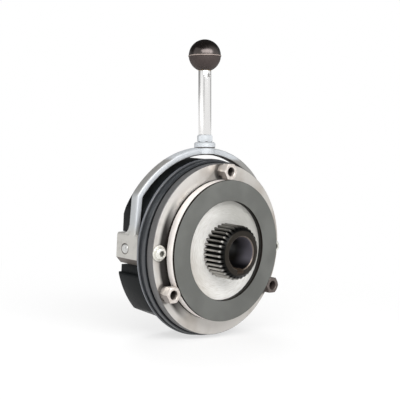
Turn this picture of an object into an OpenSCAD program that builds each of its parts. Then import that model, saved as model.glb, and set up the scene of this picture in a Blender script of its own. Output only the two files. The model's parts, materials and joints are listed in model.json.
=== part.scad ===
// Spring-applied motor disc brake with hand release, braked and mounted.
// Axis of the motor shaft along Y, motor side towards -Y, release lever up along +Z.
// Origin: on the shaft axis, in the plane of the three sleeve faces that meet the motor.

/* [Rotor] */
// Gap between the rotor's rim and the sleeve heads
rotor_gap = 0.5; // [0.3:0.1:2]
// Radial width of the friction linings
lining_w = 19; // [14:0.5:22]
// Thickness of each friction lining
lining_t = 2.2; // [1.8:0.1:4]
// Thickness of the carrier disc between the linings
carrier_t = 7.8; // [6:0.1:9]
// Depth of the turned recess in the front of the carrier web
web_recess = 3; // [0.5:0.1:3.6]

/* [Hub] */
// Shaft bore of the hub
shaft_d = 30; // [24:1:32]
// Diameter over the hub teeth
hub_tip_d = 50; // [48:0.5:54]
// Number of hub teeth
hub_teeth = 33; // [30:1:40]
// Radial depth of a hub tooth
tooth_depth = 3.7; // [2:0.1:4]
// How far the hub stands out past the mounting plane
hub_proud = 18; // [10:0.5:24]
// How far the hub reaches past the rotor, into the hole of the armature plate
hub_reach = 3.3; // [0.5:0.1:5]
// Width of the keyway
key_w = 8; // [6:1:10]
// Depth of the keyway in the bore wall
key_depth = 3.3; // [2:0.1:3.5]
// Chamfer at the mouth of the bore
bore_chamfer = 0.8; // [0.5:0.1:2]
// Play between the rotor's inner teeth and the hub's teeth
spline_clearance = 0.15; // [0.05:0.05:0.25]

/* [Armature plate] */
// Rim of the armature plate outside the circle of the sleeve bolts
plate_rim = 7; // [6.8:0.1:10]
// Thickness of the armature plate
plate_t = 8; // [6:0.5:12]
// Gap between the hub teeth and the centre hole of the armature plate
plate_hole_gap = 3; // [1:0.5:5]
// Gap round each sleeve in the armature plate
notch_gap = 0.3; // [0.3:0.05:0.45]
// Air gap between the plate and the magnet when braked
air_gap = 0.4; // [0.3:0.05:0.6]

/* [Magnet body] */
// How far the front neck of the magnet body stands out past the plate
neck_step = 0.5; // [0.3:0.1:1.5]
// Step from the neck to the rear part, which the dust ring fills
body_step = 2; // [1.8:0.1:4]
// Length of the magnet body from pole face to rear face
body_len = 41.4; // [38:0.2:56]
// Thickness of the magnet body behind the coil slot
back_t = 17.4; // [13:0.2:20]
// Width of the dust ring
ring_w = 10.2; // [8:0.1:14]
// Width of the flat band of the dust ring, next to the plate
ring_band_w = 5.3; // [3:0.1:5.5]
// Thickness of the dust ring at its flat band
ring_band_t = 1.4; // [1:0.1:1.8]
// Gap between the yoke legs and the flats on the two sides
flat_gap = 0.5; // [0.4:0.1:2]
// Height of the ledges below the side flats, under the shaft axis
ledge_drop = 22.5; // [20:0.5:26]
// How deep the two flats at the bottom are cut into the round outline
bottom_cut = 8.2; // [4:0.2:9]
// Central bore of the magnet body
magnet_bore_d = 42; // [36:0.5:46]
// Bevel on the rear rim
rear_bevel = 2.5; // [1:0.5:4]

/* [Coil] */
// Wall between the spring holes and the coil slot
spring_wall = 2; // [1.5:0.1:3]
// Outer diameter of the coil slot
coil_slot_od = 114; // [106:1:118]
// Wall of the winding bobbin
bobbin_wall = 1.2; // [0.8:0.1:2]
// Depth of resin over the winding
resin_t = 2.5; // [1:0.1:4]

/* [Torque springs] */
// Number of torque springs
spring_count = 6; // [4:1:8]
// Outer diameter of a torque spring
spring_d = 8; // [6:0.1:9]
// Wire of a torque spring
spring_wire = 1.5; // [1:0.1:1.8]
// Gap between a torque spring and its hole
spring_gap = 0.5; // [0.3:0.1:1]
// Depth of the rear counterbore that takes the adjuster ring
adjuster_bore_depth = 9; // [8:0.5:11]
// Thickness of the adjuster ring
adjuster_t = 7; // [5:0.5:8]

/* [Sleeve bolts] */
// Pitch circle of the three sleeve bolts
sleeve_pcd = 145; // [138:0.5:152]
// Width across flats of the sleeve heads
sleeve_af = 14; // [13:0.5:17]
// Height of the sleeve heads
sleeve_head_t = 7.5; // [4:0.5:9]
// Outer diameter of the threaded sleeve
sleeve_d = 12; // [11:0.5:12.5]
// Hole through the sleeve for the motor screw
screw_hole_d = 8.4; // [8.4:0.1:9]
// How deep the sleeve is screwed into the magnet body
sleeve_grip = 24; // [16:0.5:28]

/* [Hand release] */
// Diameter of the washers of the release bolts
washer_d = 14.4; // [13:0.2:16]
// Depth of a lug across the brake
lug_t = 16.4; // [15:0.2:20]
// Length of a lug along the shaft axis
lug_len = 29; // [26:0.5:34]
// Height of a lug
lug_h = 28; // [24:0.5:30]
// Chamfer at the lower outer corner of a lug
lug_chamfer = 5.4; // [3:0.2:6]
// Distance from the front face of a lug to its pin
pin_setback = 17.2; // [15:0.1:19]
// Diameter of the cross pins
pin_d = 9; // [8:0.5:10]
// Radial thickness of the yoke bar
bar_t = 6.6; // [5.5:0.1:8]
// Width of the yoke bar along the shaft axis
bar_w = 9.3; // [8:0.1:12]
// Corner rounding of the yoke bar
bar_round = 1.9; // [1:0.1:2.4]
// Rounding between the rear of a leg and the top of its lug
leg_round = 7.5; // [4:0.5:9]
// Gap between the body and the yoke's arch, before the arch is dropped
arch_gap = 7.8; // [6:0.1:14]
// Drop of the arch centre below the shaft axis
arch_drop = 3.6; // [1:0.1:4.5]
// Radius of the bend between arch and leg
bend_r = 8; // [6:0.5:12]
// Forward lean of the yoke, in degrees
yoke_lean = 3.3; // [1:0.1:4]
// Distance from the front face of a lug to the middle of the leg
leg_setback = 9; // [8:0.1:14]
// Swing of the lever from rest to full release, in degrees
swing_angle = 7; // [4:0.5:9]

/* [Lever] */
// Backward tilt of the lever, in degrees
lever_tilt = 4; // [0:0.5:6]
// Diameter of the boss under the lever
boss_d = 18; // [15:0.5:18]
// Height of the boss below its collar
boss_h = 6.9; // [6:0.1:9]
// Diameter of the collar on the boss
collar_d = 19.8; // [18.6:0.2:21]
// Height of the collar
collar_h = 4.7; // [3:0.1:6]
// Width across flats of the lever's lock nut
lock_nut_af = 13; // [12:0.5:14]
// Height of the lever's lock nut
lock_nut_h = 6.5; // [5:0.5:8]
// Thread diameter at both ends of the lever rod
stud_d = 8; // [6:1:9]
// Diameter of the lever rod
rod_d = 12; // [11:0.5:12.5]
// Visible length of the lever rod
rod_len = 60.3; // [50:0.1:200]
// Diameter of the cross hole in the lever rod
rod_hole_d = 4; // [3:0.5:5]
// Distance from the knob down to the cross hole
rod_hole_drop = 5; // [4:0.5:8]
// Diameter of the ball knob
knob_d = 30; // [28:1:40]

/* [Cable outlet] */
// Bore of the cable grommet
cable_d = 6; // [5:0.5:7]
// Diameter of the hole for the grommet
grommet_hole_d = 11; // [10:0.5:12]
// Direction of the cable outlet round the axis, in degrees
outlet_angle = 290; // [285:1:295]
// Distance from the shoulder of the magnet body to the cable outlet
outlet_setback = 9.5; // [8.5:0.1:12]

/* [Hidden] */
$fn = 96;

// Clearances: between parts fixed together, between parts that slide, and left over at full release
fit_gap = 0.05;
slide_gap = 0.3;
travel_rest = 0.05;

// Diameters, from the circle of the sleeve bolts inwards and outwards
rotor_d = sleeve_pcd - sleeve_af - 2 * rotor_gap;
lining_id = rotor_d - 2 * lining_w;
plate_d = sleeve_pcd + 2 * plate_rim;
neck_d = plate_d + 2 * neck_step;
body_d = neck_d + 2 * body_step;
plate_hole_d = hub_tip_d + 2 * plate_hole_gap;
spring_hole_d = spring_d + 2 * spring_gap;
spring_pcd = plate_hole_d + spring_hole_d;
coil_slot_id = spring_pcd + spring_hole_d + 2 * spring_wall;
adjuster_d = coil_slot_id - spring_wall;
bottom_flat = body_d / 2 - bottom_cut;

// Stations along the shaft axis, from the mounting plane to the rear
plate_y = 2 * lining_t + carrier_t;
plate_rear_y = plate_y + plate_t;
hub_rear_y = plate_y + hub_reach;
pole_y = plate_rear_y + air_gap;
shoulder_y = pole_y + ring_w;
rear_y = pole_y + body_len;
slot_floor_y = rear_y - back_t;
adjuster_y = rear_y - adjuster_bore_depth;

// Counterbores for the heads of the motor screws, and the shallow groove in the rear face
screw_head_d = 16;
screw_head_t = 6;
rear_groove = 1.2;

// Hub teeth
hub_tip_r = hub_tip_d / 2;
hub_root_r = hub_tip_r - tooth_depth;
hub_face_r = hub_root_r - 0.9;
hub_bevel = 4.4;

// Coil layers
winding_rim = 1;
bobbin_y = pole_y + resin_t;
resin_recess = 0.2;

// Release bolts, size M6
bolt_d = 6;
bolt_head_d = 11.4;
bolt_head_t = 3.4;
bolt_socket_af = 5;
bolt_tail = 2;
washer_t = 1.2;
nut_af = 10;
nut_t = 5;
release_spring_d = 9.4;
release_spring_wire = 1.2;

// Lugs and pins of the yoke: the lugs clear the magnet body as the lever swings
bolt_x = rotor_d / 2 + washer_d / 2 + 0.2;
lug_x = bolt_x + lug_t / 2;
lug_in_x = bolt_x - lug_t / 2;
lug_slot_w = nut_af + 1.8;
lug_slot_h = 18;
lug_round = 2.4;
lug_play = pin_setback * (cos(swing_angle) - 1) + lug_h / 2 * sin(swing_angle)
    - (air_gap - travel_rest) + slide_gap;
lug_y = shoulder_y + lug_play;
pin_y = lug_y + pin_setback;
pin_proud = 0.6;
pocket_x = lug_in_x - 0.5;
pocket_half = lug_h / 2 / cos(swing_angle) + slide_gap;
pocket_rise = (pin_y - shoulder_y) * tan(swing_angle);
pocket_drop = (rear_y - pin_y) * tan(swing_angle);

// Legs and arch of the yoke
leg_x = lug_x - bar_t / 2;
leg_y = lug_y + leg_setback;
flat_x = leg_x - bar_t / 2 - flat_gap;
arch_r = body_d / 2 + arch_gap + bar_t / 2;
bend_x = leg_x - bend_r;
bend_z = sqrt(pow(arch_r - bend_r, 2) - pow(bend_x, 2)) - arch_drop;
bend_a = atan2(bend_z + arch_drop, bend_x);
bar_lap = 0.15;

// Lever, measured along its own tilted axis from the bottom of the boss
arch_top_z = arch_r - arch_drop - lug_h / 2;
boss_z = lug_h / 2 + arch_top_z * cos(yoke_lean) - bar_t / 2;
boss_y = leg_y - arch_top_z * sin(yoke_lean) - 0.3;
collar_z = boss_h;
lock_nut_z = collar_z + collar_h;
rod_z = lock_nut_z + lock_nut_h;
stud_into_boss = 9;
stud_into_knob = 12;
knob_r = knob_d / 2;
knob_seat = sqrt(pow(knob_r, 2) - pow(rod_d / 2, 2));
knob_z = rod_z + rod_len + knob_seat;
insert_d = 12;
insert_len = 14;

// Dust ring: its wall in the groove, and its bead
ring_wall = 0.6;
ring_bead_r = 1.3;

// A profile of radius and station, turned about the shaft axis
module turned() {
    rotate([-90, 0, 0])
        rotate_extrude()
            children();
}

// An outline in the X-Z plane, carried along the shaft axis
module slab(y0, y1) {
    translate([0, y1, 0])
        rotate([90, 0, 0])
            linear_extrude(y1 - y0)
                children();
}

// A round bar along the shaft axis
module along(r, y0, y1) {
    translate([0, y0, 0])
        rotate([-90, 0, 0])
            cylinder(r = r, h = y1 - y0);
}

// A ring of rectangular section about the shaft axis
module washer_ring(r0, r1, y0, y1) {
    turned()
        translate([r0, y0])
            square([r1 - r0, y1 - y0]);
}

module on_sleeves() {
    for (a = [90, 210, 330])
        rotate([0, -a, 0])
            translate([sleeve_pcd / 2, 0, 0])
                children();
}

module on_springs() {
    for (i = [0 : spring_count - 1])
        rotate([0, i * 360 / spring_count, 0])
            translate([spring_pcd / 2, 0, 0])
                children();
}

module both_sides() {
    children();
    mirror([1, 0, 0])
        children();
}

// Six-sided prism along the shaft axis, a corner towards +X, both ends chamfered to the corners
module hexagon(af, y0, y1, bevel = 0.7) {
    corner_r = af / sqrt(3);
    intersection() {
        slab(y0, y1)
            circle(r = corner_r, $fn = 6);
        turned()
            polygon([[0, y0], [af / 2, y0], [corner_r, y0 + bevel], [corner_r, y1 - bevel],
                [af / 2, y1], [0, y1]]);
    }
}

// Gear outline: four straight points a tooth with a rounded-off tip
function tooth(i, n, r_tip, r_root, grow) =
    let (pitch = 360 / n, a = i * pitch, r_mid = (r_tip + r_root) / 2,
        w = 180 * grow / (PI * r_mid))
    [for (p = [[r_root, -0.40], [r_mid, -0.26], [r_tip - 0.3, -0.15], [r_tip, -0.11],
            [r_tip, 0.11], [r_tip - 0.3, 0.15], [r_mid, 0.26], [r_root, 0.40]])
        let (t = a + p[1] * pitch + sign(p[1]) * w, r = p[0] + grow)
        [r * cos(t), r * sin(t)]];

module gear(n, r_tip, r_root, grow = 0) {
    polygon([for (i = [0 : n - 1]) each tooth(i, n, r_tip, r_root, grow)]);
}

// Coil spring with one closed turn at each end, wound about +Y from y0 to y1
function rise(t, turns, wire, len) =
    t < 1 ? t * wire :
    t > turns - 1 ? len - (turns - t) * wire :
    wire + (t - 1) * (len - 2 * wire) / (turns - 2);

module coil_spring(d, wire, y0, y1, turns, steps = 8, sides = 5) {
    r = (d - wire) / 2;
    len = y1 - y0 - wire;
    n = turns * steps;
    points = [for (i = [0 : n], k = [0 : sides - 1])
        let (a = 360 * i / steps, b = 360 * k / sides, q = r + wire / 2 * cos(b))
        [q * cos(a), y0 + wire / 2 + rise(i / steps, turns, wire, len) + wire / 2 * sin(b),
            q * sin(a)]];
    side_faces = [for (i = [0 : n - 1], k = [0 : sides - 1])
        let (m = (k + 1) % sides, p = i * sides)
        each [[p + k, p + m, p + sides + m], [p + k, p + sides + m, p + sides + k]]];
    first = [for (k = [0 : sides - 1]) sides - 1 - k];
    last = [for (k = [0 : sides - 1]) n * sides + k];
    polyhedron(points = points, faces = concat(side_faces, [first, last]));
}

// Outline of the rear part: round, with side flats above two lobes and two flats at the bottom
module body_outline() {
    corner = 2;
    difference() {
        circle(d = body_d, $fn = 180);
        for (s = [-1, 1])
            translate([s * (flat_x + body_d / 4), body_d / 4 - ledge_drop])
                square([body_d / 2, body_d / 2], center = true);
        for (a = [250, 290])
            rotate(a)
                translate([bottom_flat, -body_d / 2])
                    square([body_d, body_d]);
        for (s = [0, 1])
            mirror([s, 0])
                lobe_corner(corner);
    }
}

// What is cut off to round the upper corner of a lobe
module lobe_corner(r) {
    edge_x = sqrt(pow(body_d / 2 - r, 2) - pow(ledge_drop + r, 2));
    difference() {
        translate([edge_x, -ledge_drop - r])
            square([2 * r, 2 * r]);
        translate([edge_x, -ledge_drop - r])
            circle(r = r);
    }
}

// Hollow for a yoke lug, open to the side and to the rear, sloped for the swing of the lug
module lug_pocket() {
    translate([pocket_x, 0, 0])
        rotate([90, 0, 90])
            linear_extrude(body_d / 2)
                polygon([[shoulder_y, -pocket_half], [pin_y, -pocket_half],
                    [rear_y, -pocket_half - pocket_drop], [rear_y + 1, -pocket_half - pocket_drop],
                    [rear_y + 1, pocket_half], [pin_y, pocket_half],
                    [shoulder_y, pocket_half + pocket_rise]]);
}

// Direction of the cable outlet, drawn along +X at mid depth of the coil
module at_outlet() {
    translate([0, shoulder_y + outlet_setback, 0])
        rotate([0, -outlet_angle, 0])
            rotate([0, 90, 0])
                children();
}

module magnet_body() {
    r = body_d / 2;
    color([0.07, 0.07, 0.08])
    difference() {
        union() {
            washer_ring(magnet_bore_d / 2, neck_d / 2, pole_y, shoulder_y + 1);
            intersection() {
                turned()
                    polygon([[magnet_bore_d / 2, shoulder_y], [r, shoulder_y],
                        [r, rear_y - rear_bevel], [r - rear_bevel, rear_y],
                        [magnet_bore_d / 2, rear_y]]);
                slab(shoulder_y, rear_y)
                    body_outline();
            }
        }
        washer_ring(coil_slot_id / 2, coil_slot_od / 2, pole_y - 1, slot_floor_y);
        along(adjuster_d / 2 + fit_gap, adjuster_y, rear_y + 1);
        on_springs()
            along(spring_hole_d / 2, pole_y - 1, adjuster_y + 1);
        on_sleeves() {
            along(sleeve_d / 2 + fit_gap, pole_y - 1, pole_y + sleeve_grip + 1);
            along(screw_hole_d / 2, pole_y, rear_y);
            along(screw_head_d / 2, rear_y - screw_head_t, rear_y + 1);
        }
        both_sides() {
            lug_pocket();
            translate([bolt_x, 0, 0])
                along(bolt_d / 2 + slide_gap, pole_y - 1, shoulder_y + 1);
        }
        washer_ring(adjuster_d / 2 + 6, coil_slot_od / 2, rear_y - rear_groove, rear_y + 1);
        at_outlet()
            translate([0, 0, coil_slot_od / 2 - 1])
                cylinder(d = grommet_hole_d, h = r);
    }
}

module coil_bobbin() {
    r0 = coil_slot_id / 2 + fit_gap;
    r1 = coil_slot_od / 2 - winding_rim;
    color([0.85, 0.82, 0.7])
    turned()
        polygon([[r0, bobbin_y], [r1, bobbin_y], [r1, bobbin_y + bobbin_wall],
            [r0 + bobbin_wall, bobbin_y + bobbin_wall],
            [r0 + bobbin_wall, slot_floor_y - bobbin_wall],
            [r1, slot_floor_y - bobbin_wall], [r1, slot_floor_y], [r0, slot_floor_y]]);
}

module coil() {
    r0 = coil_slot_id / 2 + fit_gap + bobbin_wall;
    color([0.72, 0.4, 0.2])
    washer_ring(r0, coil_slot_od / 2 - 2 * winding_rim, bobbin_y + bobbin_wall,
        slot_floor_y - bobbin_wall);
}

// Casting resin that fills the slot in front of the bobbin and round its rim
module coil_resin() {
    r0 = coil_slot_id / 2 + fit_gap;
    r1 = coil_slot_od / 2 - fit_gap;
    rim_r = coil_slot_od / 2 - winding_rim;
    coil_r = rim_r - winding_rim;
    color([0.15, 0.16, 0.17])
    turned()
        polygon([[r0, pole_y + resin_recess], [r1, pole_y + resin_recess], [r1, slot_floor_y],
            [rim_r, slot_floor_y], [rim_r, slot_floor_y - bobbin_wall],
            [coil_r, slot_floor_y - bobbin_wall], [coil_r, bobbin_y + bobbin_wall],
            [rim_r, bobbin_y + bobbin_wall], [rim_r, bobbin_y], [r0, bobbin_y]]);
}

module torque_springs() {
    color([0.6, 0.6, 0.62])
    on_springs()
        coil_spring(spring_d, spring_wire, plate_rear_y + fit_gap, adjuster_y - fit_gap, 8);
}

// Screwed ring behind the springs, with slots for a hook spanner
module adjuster_ring() {
    slots = 8;
    slot_w = 5;
    slot_deep = 3.5;
    color([0.75, 0.68, 0.4])
    difference() {
        turned()
            polygon([[magnet_bore_d / 2, adjuster_y], [adjuster_d / 2, adjuster_y],
                [adjuster_d / 2, adjuster_y + adjuster_t - 1],
                [adjuster_d / 2 - 1, adjuster_y + adjuster_t],
                [magnet_bore_d / 2 + 1, adjuster_y + adjuster_t],
                [magnet_bore_d / 2, adjuster_y + adjuster_t - 1]]);
        for (i = [0 : slots - 1])
            rotate([0, i * 360 / slots, 0])
                translate([magnet_bore_d / 2 + 5, adjuster_y + adjuster_t - slot_deep, -slot_w / 2])
                    cube([adjuster_d / 2, slot_deep + 1, slot_w]);
    }
}

// Rubber ring over the air gap: a flat band by the plate, a groove and a bead at the shoulder
module dust_ring() {
    r0 = neck_d / 2 + fit_gap;
    y0 = pole_y + 0.1;
    y1 = y0 + ring_band_w;
    edge = 0.3;
    color([0.22, 0.24, 0.28])
    turned() {
        polygon([[r0, y0], [r0 + ring_band_t - edge, y0], [r0 + ring_band_t, y0 + edge],
            [r0 + ring_band_t, y1 - edge], [r0 + ring_band_t - edge, y1],
            [r0 + ring_wall, y1], [r0 + ring_wall, shoulder_y], [r0, shoulder_y]]);
        translate([r0 + ring_band_t, shoulder_y - ring_bead_r - 0.1])
            circle(r = ring_bead_r, $fn = 48);
    }
}

// Hollow adjusting bolts: the motor screw passes through, the hexagon meets the motor
module sleeve_bolts() {
    color([0.74, 0.71, 0.66])
    on_sleeves()
        difference() {
            union() {
                rotate([0, 30, 0])
                    hexagon(sleeve_af, 0, sleeve_head_t);
                along(sleeve_d / 2, sleeve_head_t - 1, pole_y + sleeve_grip);
            }
            along(screw_hole_d / 2, -1, rear_y);
            turned()
                polygon([[0, -1], [screw_hole_d / 2 + 1.5, -1], [screw_hole_d / 2 - 0.1, 0.6],
                    [0, 0.6]]);
        }
}

module cable_grommet() {
    flange_t = 2.4;
    collar_len = 7;
    color([0.12, 0.12, 0.12])
    at_outlet()
        difference() {
            union() {
                translate([0, 0, coil_slot_od / 2 + 1])
                    cylinder(d = grommet_hole_d - 2 * fit_gap, h = bottom_flat - coil_slot_od / 2);
                translate([0, 0, bottom_flat])
                    cylinder(d = grommet_hole_d + 5, h = flange_t);
                translate([0, 0, bottom_flat + flange_t - 0.5])
                    cylinder(d1 = grommet_hole_d, d2 = cable_d + 2.4, h = collar_len - flange_t);
            }
            cylinder(d = cable_d, h = body_d);
        }
}

module armature_plate() {
    r = plate_d / 2;
    edge = 0.5;
    color([0.8, 0.78, 0.75])
    difference() {
        turned()
            polygon([[plate_hole_d / 2, plate_y], [r - edge, plate_y], [r, plate_y + edge],
                [r, plate_rear_y - edge], [r - edge, plate_rear_y],
                [plate_hole_d / 2, plate_rear_y]]);
        on_sleeves()
            along(sleeve_d / 2 + notch_gap, plate_y - 1, plate_rear_y + 1);
        both_sides()
            translate([bolt_x, 0, 0])
                along(bolt_d / 2 + fit_gap, plate_y - 1, plate_rear_y + 1);
    }
}

// Low-head screws with a socket: their heads lie in front of the plate, on the washers
module release_bolts() {
    head_y = plate_y - washer_t;
    r = bolt_head_d / 2;
    color([0.86, 0.86, 0.82])
    both_sides()
        translate([bolt_x, 0, 0])
            difference() {
                union() {
                    turned()
                        polygon(concat([[0, head_y], [r - 0.3, head_y], [r, head_y - 0.3]],
                            [for (a = [0 : 15 : 75])
                                [r - 2.2 * (1 - cos(a)), head_y - 1.2 - (bolt_head_t - 1.2) * sin(a)]],
                            [[r - 2.2, head_y - bolt_head_t], [0, head_y - bolt_head_t]]));
                    along(bolt_d / 2, head_y - 1, pin_y + pin_d / 2 + nut_t + bolt_tail);
                }
                hexagon(bolt_socket_af, head_y - bolt_head_t - 1, head_y - 1, 0.1);
            }
}

module release_washers() {
    edge = 0.3;
    r0 = bolt_d / 2 + fit_gap;
    r1 = washer_d / 2;
    color([0.88, 0.88, 0.85])
    both_sides()
        translate([bolt_x, 0, 0])
            turned()
                polygon([[r0, plate_y - washer_t], [r1 - edge, plate_y - washer_t],
                    [r1, plate_y - washer_t + edge], [r1, plate_y], [r0, plate_y]]);
}

module release_nuts() {
    y0 = pin_y + pin_d / 2;
    color([0.8, 0.78, 0.7])
    both_sides()
        translate([bolt_x, 0, 0])
            rotate([0, 30, 0])
                difference() {
                    hexagon(nut_af, y0, y0 + nut_t, 0.5);
                    along(bolt_d / 2 + fit_gap, y0 - 1, y0 + nut_t + 1);
                }
}

// Cross pins through the lugs, drilled for the release bolts, domed at the outer end
module release_pins() {
    dome = 2 * pin_proud;
    length = lug_t + pin_proud;
    color([0.8, 0.8, 0.8])
    both_sides()
        translate([lug_in_x, pin_y, 0])
            difference() {
                rotate([0, 90, 0])
                    rotate_extrude()
                        polygon(concat([[0, 0.4], [pin_d / 2 - 0.4, 0], [pin_d / 2, 0.6],
                            [pin_d / 2, length - dome]],
                            [for (a = [15 : 15 : 75])
                                [pin_d / 2 - 1.6 * (1 - cos(a)), length - dome + dome * sin(a)]],
                            [[pin_d / 2 - 1.8, length], [0, length]]));
                translate([bolt_x - lug_in_x, 0, 0])
                    along(bolt_d / 2 + fit_gap, -pin_d, pin_d);
            }
}

module release_springs() {
    color([0.65, 0.65, 0.68])
    both_sides()
        translate([bolt_x, 0, 0])
            coil_spring(release_spring_d, release_spring_wire, shoulder_y + fit_gap,
                pin_y - pin_d / 2 - fit_gap, 6);
}

// Section of the yoke bar: width along the shaft axis, thickness across it
module bar_section() {
    w = bar_w / 2 - bar_round;
    t = bar_t / 2 - bar_round;
    polygon([for (q = [0 : 3], a = [0 : 22.5 : 90])
        let (sx = q == 0 || q == 3 ? 1 : -1, sy = q < 2 ? 1 : -1, b = 90 * q + a)
        [sx * t + bar_round * cos(b), sy * w + bar_round * sin(b)]]);
}

// A bent length of the bar, about a centre in the yoke's plane
module bent_bar(x, z, r, from, sweep) {
    translate([x, 0, z])
        rotate([90, 0, 0])
            rotate([0, 0, from])
                rotate_extrude(angle = sweep, $fn = 144)
                    translate([r, 0])
                        bar_section();
}

module lug_outline() {
    top = lug_h / 2;
    difference() {
        polygon([[lug_in_x, -top], [lug_x - lug_chamfer, -top], [lug_x, lug_chamfer - top],
            [lug_x, top], [lug_in_x, top]]);
        difference() {
            translate([lug_x - lug_round, top - lug_round])
                square(lug_round + 1);
            translate([lug_x - lug_round, top - lug_round])
                circle(r = lug_round);
        }
        translate([bolt_x - lug_slot_w / 2, -lug_slot_h / 2])
            square([lug_slot_w, lug_slot_h]);
    }
}

// Concave fillet where the rear of a leg meets the top of its lug
module leg_fillet() {
    f = leg_round;
    sink = 1;
    inset = 0.9;
    translate([leg_x - bar_t / 2 + inset / 3, leg_y + bar_w / 2 - sink, lug_h / 2 - sink])
        rotate([90, 0, 90])
            linear_extrude(bar_t - inset * 4 / 3)
                difference() {
                    square(f + sink);
                    translate([f + sink, f + sink])
                        circle(r = f);
                }
}

// Moves the yoke's own plane to its lean, about the tops of the lugs
module yoke_plane() {
    translate([0, leg_y, lug_h / 2])
        rotate([yoke_lean, 0, 0])
            translate([0, 0, -lug_h / 2])
                children();
}

module on_lever() {
    translate([0, boss_y, boss_z])
        rotate([-lever_tilt, 0, 0])
            children();
}

module lever_boss() {
    bevel = 1.2;
    on_lever()
        rotate_extrude()
            polygon([[0, 0], [boss_d / 2 - 0.6, 0], [boss_d / 2, 0.6], [boss_d / 2, collar_z - bevel],
                [collar_d / 2, collar_z], [collar_d / 2, lock_nut_z - bevel],
                [collar_d / 2 - bevel, lock_nut_z], [0, lock_nut_z]]);
}

module release_yoke() {
    color([0.74, 0.75, 0.76])
    difference() {
        union() {
            both_sides() {
                slab(lug_y, lug_y + lug_len)
                    lug_outline();
                leg_fillet();
                yoke_plane() {
                    translate([leg_x, 0, lug_h / 2 - 2.5])
                        linear_extrude(bend_z - lug_h / 2 + 2.5)
                            bar_section();
                    bent_bar(bend_x, bend_z, bend_r, 0, bend_a);
                }
            }
            yoke_plane()
                bent_bar(0, -arch_drop, arch_r, bend_a - bar_lap, 180 - 2 * (bend_a - bar_lap));
            lever_boss();
        }
        both_sides()
            translate([0, pin_y, 0])
                rotate([0, 90, 0])
                    cylinder(d = pin_d + 2 * fit_gap, h = lug_x + 1);
        on_lever()
            translate([0, 0, lock_nut_z - stud_into_boss - 1])
                cylinder(d = stud_d + 2 * fit_gap, h = stud_into_boss + 2);
    }
}

module lever_lock_nut() {
    color([0.78, 0.79, 0.8])
    on_lever()
        translate([0, 0, lock_nut_z])
            rotate([90, 0, 0])
                difference() {
                    hexagon(lock_nut_af, 0, lock_nut_h, 0.8);
                    along(stud_d / 2 + fit_gap, -1, lock_nut_h + 1);
                }
}

// Round rod with a stud at each end and a cross hole for a tightening bar below the knob
module lever_rod() {
    color([0.85, 0.85, 0.86])
    on_lever()
        difference() {
            rotate_extrude()
                polygon([[0, lock_nut_z - stud_into_boss], [stud_d / 2, lock_nut_z - stud_into_boss],
                    [stud_d / 2, rod_z], [rod_d / 2 - 0.5, rod_z], [rod_d / 2, rod_z + 0.5],
                    [rod_d / 2, rod_z + rod_len - 0.5], [rod_d / 2 - 0.5, rod_z + rod_len],
                    [stud_d / 2, rod_z + rod_len], [stud_d / 2, rod_z + rod_len + stud_into_knob],
                    [0, rod_z + rod_len + stud_into_knob]]);
            translate([0, 0, rod_z + rod_len - rod_hole_drop])
                along(rod_hole_d / 2, -rod_d, rod_d);
        }
}

// Ball with a flat seat, an insert hole and the mould's parting bead
module ball_knob() {
    bead = 0.45;
    color([0.12, 0.09, 0.08])
    on_lever()
        translate([0, 0, knob_z])
            difference() {
                union() {
                    sphere(r = knob_r);
                    rotate_extrude()
                        translate([knob_r - bead, -bead])
                            circle(r = 2 * bead, $fn = 24);
                }
                translate([0, 0, -knob_seat - knob_r])
                    cylinder(r = knob_r, h = knob_r);
                translate([0, 0, -knob_seat - 1])
                    cylinder(d = insert_d, h = insert_len + 1);
            }
}

module knob_insert() {
    color([0.8, 0.65, 0.3])
    on_lever()
        translate([0, 0, rod_z + rod_len])
            difference() {
                cylinder(d = insert_d - 2 * fit_gap, h = insert_len);
                translate([0, 0, -1])
                    cylinder(d = stud_d + 2 * fit_gap, h = stud_into_knob + 1.5);
            }
}

module hub() {
    color([0.36, 0.33, 0.31])
    difference() {
        slab(-hub_proud, hub_rear_y)
            gear(hub_teeth, hub_tip_r, hub_root_r);
        turned()
            polygon([[hub_face_r, -hub_proud - 1], [hub_face_r, -hub_proud],
                [hub_tip_r + 0.1, hub_bevel - hub_proud], [hub_tip_r + 2, hub_bevel - hub_proud],
                [hub_tip_r + 2, -hub_proud - 1]]);
        turned()
            polygon([[hub_tip_r - 1, hub_rear_y + 0.1], [hub_tip_r + 1, hub_rear_y - 2],
                [hub_tip_r + 1, hub_rear_y + 0.1]]);
        along(shaft_d / 2, -hub_proud - 1, hub_rear_y + 1);
        turned()
            polygon([[0, -hub_proud - 1], [shaft_d / 2 + bore_chamfer + 1, -hub_proud - 1],
                [shaft_d / 2 - 1, bore_chamfer + 1 - hub_proud], [0, bore_chamfer + 1 - hub_proud]]);
        translate([-key_w / 2, -hub_proud - 1, -shaft_d / 2 - key_depth])
            cube([key_w, hub_proud + hub_rear_y + 2, shaft_d / 2]);
    }
}

// Carrier disc: thick rim under the linings, turned web, inner teeth in mesh with the hub
module rotor_carrier() {
    r = rotor_d / 2;
    y0 = lining_t;
    y1 = lining_t + carrier_t;
    color([0.78, 0.78, 0.76])
    difference() {
        turned()
            polygon([[0, y0 + web_recess], [lining_id / 2, y0 + web_recess], [lining_id / 2, y0],
                [r, y0], [r, y1], [0, y1]]);
        slab(y0 - 1, y1 + 1)
            gear(hub_teeth, hub_tip_r, hub_root_r, spline_clearance);
    }
}

module front_lining() {
    color([0.43, 0.44, 0.43])
    washer_ring(lining_id / 2, rotor_d / 2, 0, lining_t);
}

module rear_lining() {
    color([0.4, 0.41, 0.4])
    washer_ring(lining_id / 2, rotor_d / 2, lining_t + carrier_t, plate_y);
}

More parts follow.
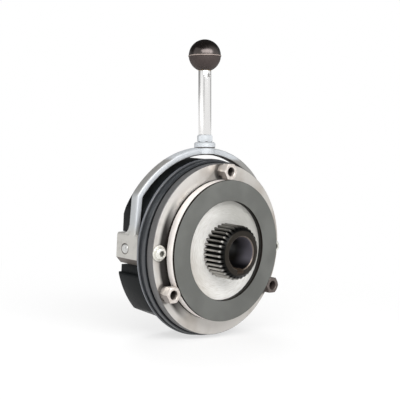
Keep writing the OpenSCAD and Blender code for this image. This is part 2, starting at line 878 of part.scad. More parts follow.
magnet_body();
coil_bobbin();
coil();
coil_resin();
torque_springs();
adjuster_ring();
dust_ring();
sleeve_bolts();
cable_grommet();
armature_plate();
release_bolts();
release_washers();
release_nuts();
release_pins();
release_springs();
release_yoke();
lever_lock_nut();
lever_rod();
ball_knob();
knob_insert();
hub();
rotor_carrier();
front_lining();
rear_lining();
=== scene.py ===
import json
import math

import bpy
from mathutils import Matrix, Vector

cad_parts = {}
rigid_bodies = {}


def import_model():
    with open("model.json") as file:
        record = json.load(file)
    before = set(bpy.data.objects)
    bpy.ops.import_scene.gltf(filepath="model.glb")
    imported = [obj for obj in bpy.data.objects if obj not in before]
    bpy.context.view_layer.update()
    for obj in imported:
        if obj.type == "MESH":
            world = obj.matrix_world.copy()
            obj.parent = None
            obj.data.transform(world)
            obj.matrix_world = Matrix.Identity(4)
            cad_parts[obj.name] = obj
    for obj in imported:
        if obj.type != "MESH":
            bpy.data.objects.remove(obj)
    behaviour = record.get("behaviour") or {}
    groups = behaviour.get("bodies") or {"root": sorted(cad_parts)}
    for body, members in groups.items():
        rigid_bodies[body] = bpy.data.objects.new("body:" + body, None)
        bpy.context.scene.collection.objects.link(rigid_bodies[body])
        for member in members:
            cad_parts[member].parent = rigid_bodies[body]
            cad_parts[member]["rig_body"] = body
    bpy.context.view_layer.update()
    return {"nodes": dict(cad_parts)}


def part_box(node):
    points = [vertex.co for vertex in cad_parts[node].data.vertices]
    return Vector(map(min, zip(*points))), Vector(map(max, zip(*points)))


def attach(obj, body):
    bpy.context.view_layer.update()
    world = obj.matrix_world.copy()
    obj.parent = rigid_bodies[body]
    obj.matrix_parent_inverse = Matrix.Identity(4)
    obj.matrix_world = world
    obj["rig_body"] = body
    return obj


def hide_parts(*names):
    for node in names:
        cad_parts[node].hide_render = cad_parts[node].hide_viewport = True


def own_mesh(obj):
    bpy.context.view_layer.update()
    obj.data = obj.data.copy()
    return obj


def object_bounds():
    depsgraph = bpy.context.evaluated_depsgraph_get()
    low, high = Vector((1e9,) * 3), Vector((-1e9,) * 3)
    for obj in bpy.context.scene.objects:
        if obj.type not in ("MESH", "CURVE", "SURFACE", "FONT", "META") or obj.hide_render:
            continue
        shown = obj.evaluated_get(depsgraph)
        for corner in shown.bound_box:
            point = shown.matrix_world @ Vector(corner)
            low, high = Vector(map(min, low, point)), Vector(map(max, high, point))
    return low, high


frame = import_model()
nodes = frame["nodes"]
print("frame loaded:", len(nodes), "nodes")

# Places that the CAD frame gives, in millimetres, which is what the finishes are painted in
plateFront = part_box("armature_plate")[0].y * 1000
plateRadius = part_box("armature_plate")[1].x * 1000
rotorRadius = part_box("front_lining")[1].x * 1000
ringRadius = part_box("dust_ring")[1].x * 1000
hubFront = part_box("hub")[0].y * 1000
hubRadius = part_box("hub")[1].x * 1000
washersLow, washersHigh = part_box("release_washers")
boltX = (washersHigh.x - (washersHigh.z - washersLow.z) / 2) * 1000
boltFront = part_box("release_bolts")[0].y * 1000
pinsLow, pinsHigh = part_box("release_pins")
pinCentre = (pinsLow + pinsHigh) * 500
nutLow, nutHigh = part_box("lever_lock_nut")
bossCentre = Vector((0, nutLow.y + nutHigh.y, nutLow.z + nutHigh.z)) * 500
knobLow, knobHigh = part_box("ball_knob")
knobRadius = (knobHigh.x - knobLow.x) / 2
knobCentre = Vector((0, (knobLow.y + knobHigh.y) / 2, knobHigh.z - knobRadius)) * 1000
leverAxis = (knobCentre - bossCentre).normalized()

# Radii as in part.scad, in millimetres, and places across the shaft as pairs of x and z
sleeveBore = 4.2
hubBore = 15
liningBore = 46
rodRadius = 6
pinRadius = 4.5
sleeveCircle = 72.5
sleevePlaces = [(sleeveCircle * math.cos(math.radians(a)), sleeveCircle * math.sin(math.radians(a)))
                for a in (90, 210, 330)]
boltPlaces = [(-boltX, 0), (boltX, 0)]


def tone(code):  # a screen colour such as "6e706f" as linear light
    parts = [int(code[i:i + 2], 16) / 255 for i in (0, 2, 4)]
    return tuple(p / 12.92 if p <= 0.04045 else ((p + 0.055) / 1.055) ** 2.4 for p in parts) + (1,)


class Wire:  # a socket of a shader, so that shader maths reads as plain expressions
    def __init__(self, shader, socket):
        self.shader = shader
        self.socket = socket

    def __add__(self, other):
        return self.shader.maths("ADD", self, other)

    def __sub__(self, other):
        return self.shader.maths("SUBTRACT", self, other)

    def __rsub__(self, other):
        return self.shader.maths("SUBTRACT", other, self)

    def __mul__(self, other):
        return self.shader.maths("MULTIPLY", self, other)

    def __truediv__(self, other):
        return self.shader.maths("DIVIDE", self, other)

    def __rtruediv__(self, other):
        return self.shader.maths("DIVIDE", other, self)

    __radd__ = __add__
    __rmul__ = __mul__


class Shader:  # the nodes of a material or of the world, with the node that they feed
    def __init__(self, tree, surface):
        self.tree = tree
        self.surface = tree.nodes[surface]

    def add(self, kind, settings, sockets, output=0):
        node = self.tree.nodes.new(kind)
        for name, value in settings.items():
            setattr(node, name, value)
        for name, value in sockets.items():
            if isinstance(value, Wire):
                self.tree.links.new(value.socket, node.inputs[name])
            else:
                node.inputs[name].default_value = value
        return Wire(self, node.outputs[output])

    def maths(self, operation, *values):
        return self.add("ShaderNodeMath", {"operation": operation}, dict(enumerate(values)))

    def band(self, value, low, high, start=0.0, end=1.0):  # runs from start to end as value goes low to high
        return self.add("ShaderNodeMapRange", {"interpolation_type": "SMOOTHSTEP"}, {"Value": value,
                        "From Min": low, "From Max": high, "To Min": start, "To Max": end})

    def ray(self, kind):  # 1 where a ray is of that kind
        return self.add("ShaderNodeLightPath", {}, {}, "Is " + kind + " Ray")

    def feed(self, socket, wire):
        self.tree.links.new(wire.socket, self.surface.inputs[socket])


# One procedural material. Its look holds what a user would change: colours, shares and, in millimetres, the sizes
# of blotches, the relief's depth and pairs of places between which something fades.
class Finish(Shader):
    def __init__(self, name, look):
        self.look = look
        self.material = bpy.data.materials.new(name)
        self.material.use_nodes = True
        super().__init__(self.material.node_tree, "Principled BSDF")
        evenly = {"Base Color": tone(look["colour"]), "Roughness": sum(look["roughness"]) / 2,
                  "Metallic": look.get("metallic", 0), "Specular IOR Level": look.get("specular", 0.5),
                  "Specular Tint": look.get("specularTint", (1, 1, 1, 1))}
        for socket, value in evenly.items():
            self.surface.inputs[socket].default_value = value
        coords = self.add("ShaderNodeTexCoord", {}, {}, "Object")
        self.mm = self.add("ShaderNodeVectorMath", {"operation": "SCALE"}, {0: coords, "Scale": 1000})
        self.x = self.add("ShaderNodeSeparateXYZ", {}, {0: self.mm}, "X")
        self.y = self.add("ShaderNodeSeparateXYZ", {}, {0: self.mm}, "Y")
        self.z = self.add("ShaderNodeSeparateXYZ", {}, {0: self.mm}, "Z")

    def combine(self, x, y, z):
        return self.add("ShaderNodeCombineXYZ", {}, {"X": x, "Y": y, "Z": z})

    def length(self, x, y, z):
        return self.add("ShaderNodeVectorMath", {"operation": "LENGTH"}, {0: self.combine(x, y, z)}, "Value")

    def radius(self):  # distance from the shaft axis
        return self.length(self.x, 0, self.z)

    def angle(self):  # round the shaft axis, in turns
        return self.maths("ARCTAN2", self.z, self.x) / (2 * math.pi)

    def fromLines(self, places):  # distance from the nearest of some lines beside the shaft, each at its x and z
        nearest, *others = [self.length(self.x - x, 0, self.z - z) for x, z in places]
        for other in others:
            nearest = self.maths("MINIMUM", nearest, other)
        return nearest

    def facing(self, axis):  # how far the surface faces along an axis, from -1 to 1
        normal = self.add("ShaderNodeNewGeometry", {}, {}, "Normal")
        return self.add("ShaderNodeSeparateXYZ", {}, {0: normal}, axis)

    def noise(self, size, detail=2.0, roughness=0.5, where=None):  # size of a blotch in millimetres
        return self.add("ShaderNodeTexNoise", {}, {"Vector": where or self.mm, "Scale": 1 / size,
                        "Detail": detail, "Roughness": roughness}, "Fac")

    def blend(self, factor, first, second):
        colours = [tone(c) if isinstance(c, str) else c for c in (first, second)]
        return self.add("ShaderNodeMix", {"data_type": "RGBA"}, {0: factor, 6: colours[0], 7: colours[1]}, 2)

    def rough(self, pattern, low=0.3, high=0.7):  # the look's range of roughness, over the middle of a noise
        return self.band(pattern, low, high, *self.look["roughness"])

    def bump(self, height):  # the look's relief is the depth in millimetres for a height of 1
        depth = self.look["relief"] / 1000
        self.feed("Normal", self.add("ShaderNodeBump", {}, {"Height": height, "Distance": depth, "Strength": 1}))

    def on(self, *objects):
        for obj in objects:
            obj.data.materials.clear()
            obj.data.materials.append(self.material)


def blackCasting():
    look = {"colour": "0f1112", "worn": "191c1e", "roughness": (0.4, 0.56), "specular": 0.14,
            "cloud": 18, "grain": 0.9, "waves": 3, "relief": 0.05}
    f = Finish("blackCasting", look)
    cloud = f.noise(look["cloud"], 4)
    grain = f.noise(look["grain"], 3)
    f.feed("Base Color", f.blend(f.band(cloud, 0.4, 0.75), look["colour"], look["worn"]))
    f.feed("Roughness", f.rough(cloud))
    f.bump(grain + f.noise(look["waves"], 2) * 2)
    return f


def ringRubber():  # dusty in streaks, the crowns of its lips painted lighter as scuffing and a painted highlight
    look = {"colour": "26292d", "dust": "373b40", "scuffed": "6d7077", "roughness": (0.28, 0.44), "specular": 0.9,
            "crown": (-0.35, -0.05), "streaks": 2.5, "grain": 0.6, "relief": 0.01}
    f = Finish("ringRubber", look)
    streaks = f.noise(look["streaks"], 3, 0.6, f.combine(f.angle() * 500, f.y * 4, f.radius() * 4))
    dusted = f.blend(f.band(streaks, 0.45, 0.8), look["colour"], look["dust"])
    # the crowns of the lips painted lighter: scuffing and a painted highlight
    crown = f.band(f.radius() - ringRadius, *look["crown"])
    f.feed("Base Color", f.blend(crown * 0.9, dusted, look["scuffed"]))
    f.feed("Roughness", f.rough(streaks))
    f.bump(f.noise(look["grain"], 2))
    return f


def groundSteel():  # the armature plate: ground faces, a duller turned rim, a painted shadow and brake dust beside the rotor, painted contact shade round the bolt and the sleeves, and painted shade towards the right and the bottom
    look = {"colour": "d2cfcb", "stain": "bcb6af", "film": "958f87", "rim": "706f6f", "rimStreak": "5d5c5c",
            "dust": "130e0b", "roughness": (0.3, 0.44), "metallic": 0.6, "grinding": 0.9, "cloud": 22,
            "streaks": 1.5, "filmRight": (0, 45), "filmBelow": (-70, -35), "dustLowLeft": (-62, -40),
            "besideRotor": (5.5, 10), "aroundBolt": (6.6, 8), "aroundSleeve": (8.5, 11), "relief": 0.012}
    f = Finish("groundSteel", look)
    radius = f.radius()
    grinding = f.noise(look["grinding"], 4, 0.6, f.combine(f.x * 0.06, f.y, f.z * 2.2))
    cloud = f.noise(look["cloud"], 3)
    clean = f.blend(f.band(cloud, 0.4, 0.7), look["colour"], look["stain"])
    # painted shade: the face darker towards the right and towards the bottom
    filmRight = f.band(f.x, *look["filmRight"], 0, 0.32)
    filmBelow = f.band(f.z, *look["filmBelow"], 0.24, 0)
    face = f.blend(f.maths("MAXIMUM", filmRight, filmBelow), clean, look["film"])
    # a painted shadow of the rotor, with brake dust, beside its rim on the left and low down
    lowLeft = f.band(f.x * 0.99 + f.z * 0.16, *look["dustLowLeft"], 1, 0.04)
    dust = f.band(radius - rotorRadius, *look["besideRotor"], 1, 0) * lowLeft
    # painted contact shade round the release bolt and the sleeves
    aroundBolt = f.band(f.fromLines(boltPlaces[:1]), *look["aroundBolt"], 1, 0)
    aroundSleeve = f.band(f.fromLines(sleevePlaces), *look["aroundSleeve"], 1, 0)
    contactShaded = f.blend(f.maths("MAXIMUM", aroundBolt, aroundSleeve) * 0.75, face, look["dust"])
    shadowed = f.blend(dust, contactShaded, look["dust"])
    onRim = f.band(radius, plateRadius - 0.6, plateRadius - 0.4)
    streaks = f.noise(look["streaks"], 3, 0.6, f.combine(f.angle() * 500, f.y * 0.2, 0))
    f.feed("Base Color", f.blend(onRim, shadowed, f.blend(streaks, look["rim"], look["rimStreak"])))
    f.feed("Roughness", f.rough(grinding, 0.25, 0.75) + onRim * 0.08 + dust * 0.25)
    f.feed("Metallic", look["metallic"] * (1 - dust) - onRim * 0.2)
    f.bump(grinding)
    return f


def frictionLining():
    look = {"colour": "6c6d6a", "fleck": "7a7b77", "dark": "646562", "rim": "211c19", "roughness": (0.72, 0.88),
            "specular": 0.08, "flecks": 0.7, "cloud": 30, "relief": 0.02}
    f = Finish("frictionLining", look)
    fleck = f.noise(look["flecks"], 4, 0.7)
    cloud = f.noise(look["cloud"], 2)
    radius = f.radius()
    # the outer rim and the inner edge are painted near black: painted shade on the lining's edges
    outer = f.band(radius, rotorRadius - 0.25, rotorRadius - 0.1)
    inner = f.band(radius, liningBore + 0.1, liningBore + 0.25, 1, 0)
    ground = f.blend(f.band(cloud, 0.4, 0.65), look["dark"], look["colour"])
    face = f.blend(f.band(fleck, 0.55, 0.75), ground, look["fleck"])
    f.feed("Base Color", f.blend(f.maths("MAXIMUM", outer, inner), face, look["rim"]))
    f.feed("Roughness", f.rough(fleck))
    f.bump(fleck)
    return f


def turnedAluminium():  # the rotor's carrier, with the lathe's fine rings, painted shade towards the upper right and the lower left, and the step under the lining painted near black as shade
    look = {"colour": "fdfcf9", "shade": "dedbd4", "film": "a5a49e", "warmFilm": "8f8371", "rim": "f2ece8",
            "step": "171714", "roughness": (0.46, 0.56), "metallic": 0.22, "rings": 0.12, "arcs": 1.3,
            "filmUpperRight": (0, 34), "filmLowerLeft": (-44, -20), "relief": 0.006}
    f = Finish("turnedAluminium", look)
    radius = f.radius()
    rings = f.noise(look["rings"], 2, 0.6, f.combine(radius, f.y, f.angle() * 30))
    arcs = f.noise(look["arcs"], 3, 0.6, f.combine(radius * 2.6, f.y, f.angle() * 36))
    onRim = f.band(radius, rotorRadius - 0.3, rotorRadius - 0.1)
    # the wall of the step under the lining painted near black: painted shade
    atStep = f.band(radius, liningBore - 0.15, liningBore - 0.02) * (1 - onRim)
    web = f.blend(f.band(arcs, 0.35, 0.75) * (1 - onRim), look["colour"], look["shade"])
    # painted shade: darker towards the upper right and, warmer, towards the lower left
    upperRight = f.band(f.x * 0.75 + f.z * 0.66, *look["filmUpperRight"])
    lowerLeft = f.band(f.x * 0.85 + f.z * 0.5, *look["filmLowerLeft"], 1, 0)
    shadedUpperRight = f.blend(upperRight * (0.65 + arcs * 0.4), web, look["film"])
    shadedLowerLeft = f.blend(lowerLeft * (0.35 + arcs * 0.3), shadedUpperRight, look["warmFilm"])
    stepped = f.blend(atStep, shadedLowerLeft, look["step"])
    f.feed("Base Color", f.blend(onRim, stepped, look["rim"]))
    f.feed("Roughness", f.rough(arcs) - onRim * 0.1)
    f.feed("Metallic", look["metallic"] - atStep * 0.2)
    f.bump(rings)
    return f


def hubSteel():  # bright worn tooth lands painted darker higher up as shade, grooves painted near black as shade, a brownish turned face and a bore painted darker deep inside and low down as shade
    look = {"colour": "2e2a25", "land": "b0aeaa", "oiledLand": "6a6864", "groove": "0f0f0e", "bore": "7a7780",
            "deep": "121114", "keyway": "66594e", "chamfer": "8d857e", "roughness": (0.28, 0.46),
            "metallic": 0.85, "scratches": 0.5, "lands": (-2.2, -0.4), "oiledAbove": (2, 16),
            "keywayEnds": (5, 5.5), "darkBehind": (9, 23), "darkBelow": (-13, -5), "relief": 0.02}
    f = Finish("hubSteel", look)
    radius = f.radius()
    depth = f.y - hubFront
    scratches = f.noise(look["scratches"], 3, 0.6, f.combine(radius, f.y * 0.2, f.angle() * 60))
    # the lands painted darker higher up and the grooves near black: painted shade
    worn = f.blend(f.band(f.z, *look["oiledAbove"]), look["land"], look["oiledLand"])
    teeth = f.blend(f.band(radius - hubRadius, *look["lands"]), look["groove"], worn)
    onFace = f.band(depth, 0.1, 0.3, 1, 0)
    front = f.blend(onFace, teeth, look["colour"])
    mouth = f.band(radius, hubBore + 0.7, hubBore + 0.85, 1, 0)
    mouthed = f.blend(mouth, front, look["chamfer"])
    inKeyway = f.band(radius - hubBore, *look["keywayEnds"], 1, 0) * (1 - onFace)
    keyed = f.blend(inKeyway, mouthed, look["keyway"])
    # the bore painted darker deep inside and low down: painted shade
    shallow = f.band(depth, *look["darkBehind"], 1, 0) * f.band(f.z, *look["darkBelow"])
    bored = f.blend(shallow, look["deep"], look["bore"])
    inBore = f.band(radius, hubBore + 0.05, hubBore + 0.2, 1, 0)
    f.feed("Base Color", f.blend(inBore, keyed, bored))
    f.feed("Metallic", look["metallic"] - inKeyway * 0.35)
    f.feed("Roughness", f.rough(scratches))
    f.bump(scratches)
    return f


def dullZinc():  # sleeves and nuts; side facets painted lighter and facets facing down and left painted darker as light and shade, bores painted dark as shade, and the right sleeve painted nearly black as shade
    look = {"colour": "d8d1cb", "stain": "bfb6ae", "side": "e2dad2", "oiled": "4b413e", "bore": "2b2320",
            "roughness": (0.36, 0.52), "metallic": 0.6, "cloud": 3, "grain": 0.5, "oiledRightOf": (40, 50),
            "cleanBehind": (30, 40), "relief": 0.02}
    f = Finish("dullZinc", look)
    cloud = f.noise(look["cloud"], 4, 0.6)
    clean = f.blend(f.band(cloud, 0.4, 0.7), look["colour"], look["stain"])
    # the side facets painted lighter than the ends: painted light
    ahead = f.maths("ABSOLUTE", f.facing("Y"))
    sided = f.blend(f.band(ahead, 0.2, 0.8, 0.8, 0), clean, look["side"])
    # facets facing down and to the left painted dark: painted shade
    away = f.band(f.facing("X") * -0.8 + f.facing("Z") * -0.6, 0.7, 0.85)
    faced = f.blend(away * 0.7, sided, look["oiled"])
    near = f.fromLines(sleevePlaces)
    # the inside of the bores painted dark: painted shade
    inBore = f.band(near, sleeveBore + 0.45, sleeveBore + 0.7, 1, 0) * f.band(f.y, 0.5, 4)
    bored = f.blend(inBore * 0.93, faced, look["bore"])
    # the right sleeve painted nearly black: painted shade
    rightSleeve = f.band(f.x, *look["oiledRightOf"]) * f.band(f.y, *look["cleanBehind"], 1, 0)
    f.feed("Base Color", f.blend(rightSleeve * 0.9, bored, look["oiled"]))
    f.feed("Metallic", look["metallic"] - inBore * 0.4)
    f.feed("Roughness", f.rough(cloud))
    f.bump(f.noise(look["grain"], 3))
    return f


def brightZinc(name, colour, stain):  # the sockets in the bolts' heads are painted dark as shade
    look = {"colour": colour, "stain": stain, "socket": "57554f", "roughness": (0.26, 0.4), "metallic": 0.75,
            "socketEnds": (2.8, 3), "cloud": 2.2, "grain": 0.4, "relief": 0.012}
    f = Finish(name, look)
    cloud = f.noise(look["cloud"], 4, 0.6)
    clean = f.blend(f.band(cloud, 0.4, 0.7), look["colour"], look["stain"])
    # the sockets in the bolts' heads painted dark: painted shade
    middle = f.band(f.fromLines(boltPlaces), *look["socketEnds"], 1, 0)
    inHead = f.band(f.y, boltFront + 0.2, boltFront + 1.6) * f.band(f.y, plateFront, plateFront + 1, 1, 0)
    f.feed("Base Color", f.blend(middle * inHead * 0.9, clean, look["socket"]))
    f.feed("Roughness", f.rough(cloud))
    f.bump(f.noise(look["grain"], 2))
    return f


def silverCasting():  # the yoke: bluish silver above, its fronts painted lighter and its tops and right side painted darker as shade, warmer grey on the lugs, some grime below the boss, painted shade underneath and a painted shadow round the pins
    look = {"colour": "b4b7b9", "front": "d0d4d8", "boss": "cbcfd3", "lug": "bdbbb6", "crown": "918f8b",
            "grime": "8c8985", "under": "4e443e", "roughness": (0.4, 0.54), "metallic": 0.4, "cloud": 9,
            "grain": 0.8, "lugEnds": (10, 26), "crownAbove": (20, 40), "crownRight": (12, 30), "bossHeight": 21,
            "pinSeam": (0.2, 0.9), "seamOutside": (66, 70), "relief": 0.04}
    f = Finish("silverCasting", look)
    grain = f.noise(look["grain"], 4, 0.65)
    cloud = f.noise(look["cloud"], 3)
    # faces turned to the front painted lighter: painted light
    bar = f.blend(f.band(f.facing("Y"), -0.9, -0.5, 1, 0), look["colour"], look["front"])
    lugged = f.blend(f.band(f.z, *look["lugEnds"]), look["lug"], bar)
    # faces turned upwards and the right side painted darker: painted shade
    upward = f.maths("MAXIMUM", f.band(f.facing("Z"), 0.1, 0.7, 0, 0.8), f.band(f.x, *look["crownRight"], 0, 0.9))
    crowned = f.blend(upward * f.band(f.z, *look["crownAbove"]), lugged, look["crown"])
    bossFoot = bossCentre.z - look["bossHeight"]
    bossed = f.blend(f.band(f.z, bossFoot, bossFoot + 4), crowned, look["boss"])
    grime = f.band(cloud, 0.5, 0.85, 0, 0.5) * f.band(f.z, bossFoot - 5, bossFoot, 1, 0.3)
    worn = f.blend(grime, bossed, look["grime"])
    # faces turned downwards painted dark brown and a dark ring round each pin: painted shade and a painted shadow
    down = f.band(f.facing("Z"), -0.6, -0.3, 0.9, 0)
    fromPin = f.length(0, f.y - pinCentre.y, f.z - pinCentre.z) - pinRadius
    pinShadowRing = f.band(fromPin, *look["pinSeam"], 1, 0) * f.band(f.maths("ABSOLUTE", f.x), *look["seamOutside"])
    f.feed("Base Color", f.blend(f.maths("MAXIMUM", down, pinShadowRing), worn, look["under"]))
    f.feed("Roughness", f.rough(grain))
    f.bump(grain + cloud * 3)
    return f


def polishedSteel():  # the lever's rod; its cross hole stays pale inside
    look = {"colour": "eeedec", "line": "dddcdb", "roughness": (0.15, 0.2), "metallic": 1, "holeMetallic": 0.15,
            "lines": 0.4, "holeEnds": (-0.4, -0.15)}
    f = Finish("polishedSteel", look)
    lines = f.noise(look["lines"], 2, 0.6, f.combine(f.x * 2, f.y * 2, f.z * 0.03))
    f.feed("Base Color", f.blend(lines, look["colour"], look["line"]))
    f.feed("Roughness", f.rough(lines))
    across = (f.y - bossCentre.y) * leverAxis.z - (f.z - bossCentre.z) * leverAxis.y
    outside = f.length(f.x, across, 0) - rodRadius
    f.feed("Metallic", f.band(outside, *look["holeEnds"], look["holeMetallic"], look["metallic"]))
    return f


def knobThermoset():  # polished above its parting line, duller below
    look = {"colour": "0a0706", "lower": "1f1513", "flash": "a3968f", "roughness": (0.65, 0.75), "polish": 0.46,
            "specular": 1, "specularTint": (1, 0.86, 0.82, 1), "mottle": 1.5, "grain": 0.5,
            "flashEnds": (0.3, 0.55), "relief": 0.012}
    f = Finish("knobThermoset", look)
    along = (f.y - knobCentre.y) * leverAxis.y + (f.z - knobCentre.z) * leverAxis.z
    upper = f.band(along, -0.4, 0.4)
    mottle = f.noise(look["mottle"], 3)
    lower = f.blend(0.5, f.blend(mottle, look["colour"], look["lower"]), look["lower"])
    halves = f.blend(upper, lower, look["colour"])
    onFlash = f.band(f.maths("ABSOLUTE", along - 0.1), *look["flashEnds"], 1, 0)
    f.feed("Base Color", f.blend(onFlash * 0.8, halves, look["flash"]))
    f.feed("Roughness", f.rough(mottle) - upper * look["polish"])
    f.bump(f.noise(look["grain"], 2) * (1 - upper))
    return f


def insideFinishes():  # what only shows from behind or with the brake taken apart
    plain = {"bobbinNylon": ("cfc6a4", 0.5, 0), "copperWire": ("8a4b22", 0.3, 0.6),
             "castResin": ("26272a", 0.35, 0), "springWire": ("84858a", 0.32, 1),
             "yellowZinc": ("b9a468", 0.35, 0.9), "blackRubber": ("1c1c1d", 0.6, 0),
             "turnedBrass": ("c9a659", 0.3, 1)}
    made = {}
    for name, (colour, roughness, metallic) in plain.items():
        f = Finish(name, {"colour": colour, "roughness": (roughness - 0.06, roughness + 0.08),
                          "metallic": metallic, "relief": 0.015})
        cloud = f.noise(2.5, 4, 0.6)
        shade = tone(colour)
        worn = tuple(c * 0.82 for c in shade[:3]) + (1,)
        f.feed("Base Color", f.blend(f.band(cloud, 0.3, 0.8), shade, worn))
        f.feed("Roughness", f.rough(cloud))
        f.bump(f.noise(0.5, 2))
        made[name] = f
    return made


# A smooth copy of a CAD piece with its sharp edges broken. The edge gives the bevel's width in millimetres and,
# in degrees, which edges are sharp, which facets merge as flat and which are shaded smooth.
def roundedCopy(node, pieceName, finish, edge):
    piece = bpy.data.objects.new(pieceName, nodes[node].data.copy())
    bpy.context.scene.collection.objects.link(piece)
    bpy.ops.object.select_all(action="DESELECT")
    piece.select_set(True)
    bpy.context.view_layer.objects.active = piece
    bpy.ops.object.mode_set(mode="EDIT")
    bpy.ops.mesh.select_all(action="SELECT")
    bpy.ops.mesh.remove_doubles(threshold=0.000005)
    bpy.ops.mesh.dissolve_limited(angle_limit=math.radians(edge.get("flat", 0.4)))
    if "cutAt" in edge:  # keeps the long faces of a rod clear of the hole at its end
        bpy.ops.mesh.select_all(action="SELECT")
        bpy.ops.mesh.bisect(plane_co=edge["cutAt"], plane_no=leverAxis)
    bpy.ops.object.mode_set(mode="OBJECT")
    if piece.data.has_custom_normals:
        bpy.ops.mesh.customdata_custom_splitnormals_clear()
    if edge["width"] > 0:
        bevel = piece.modifiers.new("brokenEdges", "BEVEL")
        bevel.width = edge["width"] / 1000
        bevel.segments = edge.get("segments", 2)
        bevel.limit_method = "ANGLE"
        bevel.angle_limit = math.radians(edge.get("sharp", 35))
        bpy.ops.object.modifier_apply(modifier=bevel.name)
    bpy.ops.object.shade_smooth_by_angle(angle=math.radians(edge.get("smooth", 32)))
    finish.on(piece)
    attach(piece, nodes[node]["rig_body"])
    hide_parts(node)
    print(pieceName, "has", len(piece.data.polygons), "faces")
    return piece


inside = insideFinishes()
bareZinc = brightZinc("brightZinc", "e9e8e2", "cfcfc6")
pinSteel = brightZinc("pinSteel", "d2d2d0", "b4b4b2")
sleeveZinc = dullZinc()
castSilver = silverCasting()
rodCutDrop = 22.5  # from the knob's centre to just below the rod's cross hole
rodCut = (knobCentre - leverAxis * rodCutDrop) / 1000
roundedCopy("magnet_body", "magnetCasting", blackCasting(), {"width": 0.6, "sharp": 40})
roundedCopy("release_yoke", "yokeCasting", castSilver, {"width": 0.8, "segments": 3})
roundedCopy("lever_lock_nut", "lockNut", castSilver, {"width": 0.35})
roundedCopy("sleeve_bolts", "sleeveBolts", sleeveZinc, {"width": 0.25})
roundedCopy("release_bolts", "releaseBolts", bareZinc, {"width": 0.25})
roundedCopy("release_pins", "releasePins", pinSteel, {"width": 0.35})
roundedCopy("armature_plate", "armaturePlate", groundSteel(), {"width": 0.35, "sharp": 50})
roundedCopy("rotor_carrier", "rotorCarrier", turnedAluminium(), {"width": 0.2, "sharp": 50})
roundedCopy("hub", "toothedHub", hubSteel(), {"width": 0.2, "sharp": 40})
roundedCopy("lever_rod", "leverRod", polishedSteel(), {"width": 0.3, "cutAt": rodCut})
roundedCopy("dust_ring", "dustRing", ringRubber(), {"width": 0.15, "sharp": 50, "flat": 0.1, "smooth": 45})
roundedCopy("release_washers", "releaseWashers", bareZinc, {"width": 0.2})
roundedCopy("release_nuts", "releaseNuts", sleeveZinc, {"width": 0.3})
frictionLining().on(nodes["front_lining"], nodes["rear_lining"])
knobThermoset().on(nodes["ball_knob"])
inside["bobbinNylon"].on(nodes["coil_bobbin"])
inside["copperWire"].on(nodes["coil"])
inside["castResin"].on(nodes["coil_resin"])
inside["springWire"].on(nodes["release_springs"])
inside["yellowZinc"].on(nodes["adjuster_ring"])
inside["blackRubber"].on(nodes["cable_grommet"])
inside["turnedBrass"].on(nodes["knob_insert"])
springs = roundedCopy("torque_springs", "torqueSprings", inside["springWire"], {"width": 0, "smooth": 50})
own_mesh(springs)
print("finishes given")


def addFloor():  # white paper; whiteFrom and whiteTo are in millimetres from the part
    look = {"colour": "fafafa", "roughness": (0.9, 0.9), "size": 12, "whiteFrom": 160, "whiteTo": 500,
            "shadowShare": 0.35}
    bpy.ops.object.select_all(action="DESELECT")
    bpy.ops.mesh.primitive_plane_add(size=look["size"], location=(0, 0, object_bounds()[0].z))
    plane = bpy.context.object
    plane.name = "floor"
    f = Finish("floorPaper", look)
    white = f.add("ShaderNodeEmission", {}, {"Color": (1, 1, 1, 1), "Strength": 1})
    share = f.band(f.length(f.x, f.y, 0), look["whiteFrom"], look["whiteTo"], 1 - look["shadowShare"], 1)
    seen = f.maths("MAXIMUM", f.ray("Camera"), f.ray("Glossy")) * share
    mixed = f.add("ShaderNodeMixShader", {}, {0: seen, 1: Wire(f, f.surface.outputs[0]), 2: white})
    f.tree.links.new(mixed.socket, f.tree.nodes["Material Output"].inputs["Surface"])
    f.on(plane)


def addWorld():  # white for the camera; what metal mirrors fades towards the ceiling and the back of the studio
    sky = {"fill": 0.32, "brightTowards": (0.2, -0.92, -0.35), "fadeFrom": -0.1, "fadeTo": 0.7, "dim": 0.06,
           "sweep": 0.34, "sweepLow": 0.1, "sweepHigh": 0.4}
    world = bpy.data.worlds.new("studio")
    bpy.context.scene.world = world
    world.use_nodes = True
    w = Shader(world.node_tree, "Background")
    ahead = w.add("ShaderNodeTexCoord", {}, {}, "Generated")
    towards = w.add("ShaderNodeVectorMath", {"operation": "DOT_PRODUCT"}, {0: ahead, 1: sky["brightTowards"]},
                    "Value")
    height = w.add("ShaderNodeSeparateXYZ", {}, {0: ahead}, "Z")
    faded = w.band(towards, sky["fadeFrom"], sky["fadeTo"], sky["dim"], 1)
    sweep = w.band(height, sky["sweepLow"], sky["sweepHigh"], sky["sweep"], 0)
    mirrored = w.maths("MAXIMUM", faded, sweep)
    lit = w.add("ShaderNodeMix", {}, {0: w.ray("Glossy"), 2: sky["fill"], 3: mirrored})
    w.surface.inputs["Color"].default_value = (1, 1, 1, 1)
    w.feed("Strength", w.maths("MAXIMUM", w.ray("Camera"), lit))


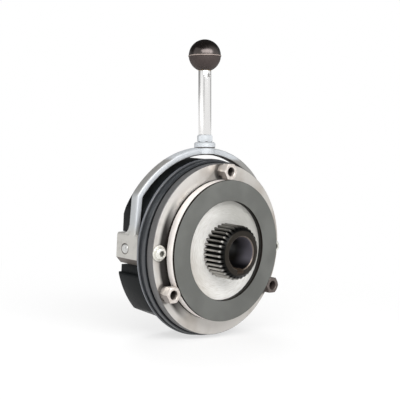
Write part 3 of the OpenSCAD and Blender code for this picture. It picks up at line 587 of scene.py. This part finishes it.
def outwards(azimuth, elevation):  # the direction of a view in degrees, where azimuth 0 is the motor's side
    a, e = math.radians(azimuth), math.radians(elevation)
    return Vector((math.sin(a) * math.cos(e), -math.cos(a) * math.cos(e), math.sin(e)))


def addLamps():  # in degrees, metres and watts
    lamps = {
        "keyLamp": {"from": (-25, 38), "distance": 1.2, "size": (1.7, 0.55), "watts": 17, "mirrored": True},
        "leftLamp": {"from": (-100, 18), "distance": 1.3, "size": (1.6, 1.5), "watts": 6, "mirrored": True},
        "backLamp": {"from": (150, 45), "distance": 1.4, "size": (0.8, 0.8), "watts": 8, "mirrored": False}}
    aim = Vector((0, 0, 0.03))
    for name, lamp in lamps.items():
        light = bpy.data.lights.new(name, "AREA")
        light.shape = "RECTANGLE"
        light.energy = lamp["watts"]
        light.size, light.size_y = lamp["size"]
        obj = bpy.data.objects.new(name, light)
        bpy.context.scene.collection.objects.link(obj)
        away = outwards(*lamp["from"])
        obj.location = aim + away * lamp["distance"]
        obj.rotation_euler = away.to_track_quat("Z", "Y").to_euler()
        obj.visible_glossy = lamp["mirrored"]


def addCamera():  # the photograph's view: the brake leans a little about its shaft there
    view = {"from": (-42.6, 7.0), "distance": 1.0066, "aimRight": -0.0252, "aimUp": 0.04665, "lean": 3.7,
            "lens": 99.0}
    back = outwards(*view["from"])
    right = Vector((0, 0, 1)).cross(back).normalized()
    up = back.cross(right)
    place = back * view["distance"] + right * view["aimRight"] + up * view["aimUp"]
    axes = Matrix((right, up, back)).transposed().to_4x4()
    camera = bpy.data.cameras.new("camera")
    camera.lens = view["lens"]
    camera.sensor_width = 36
    camera.clip_start = 0.05
    obj = bpy.data.objects.new("camera", camera)
    bpy.context.scene.collection.objects.link(obj)
    obj.matrix_world = Matrix.Rotation(math.radians(-view["lean"]), 4, "Y") @ Matrix.Translation(place) @ axes
    bpy.context.scene.camera = obj


addFloor()
addWorld()
addLamps()
addCamera()
bpy.context.scene.view_settings.view_transform = "Standard"
print("floor, lamps and camera placed")
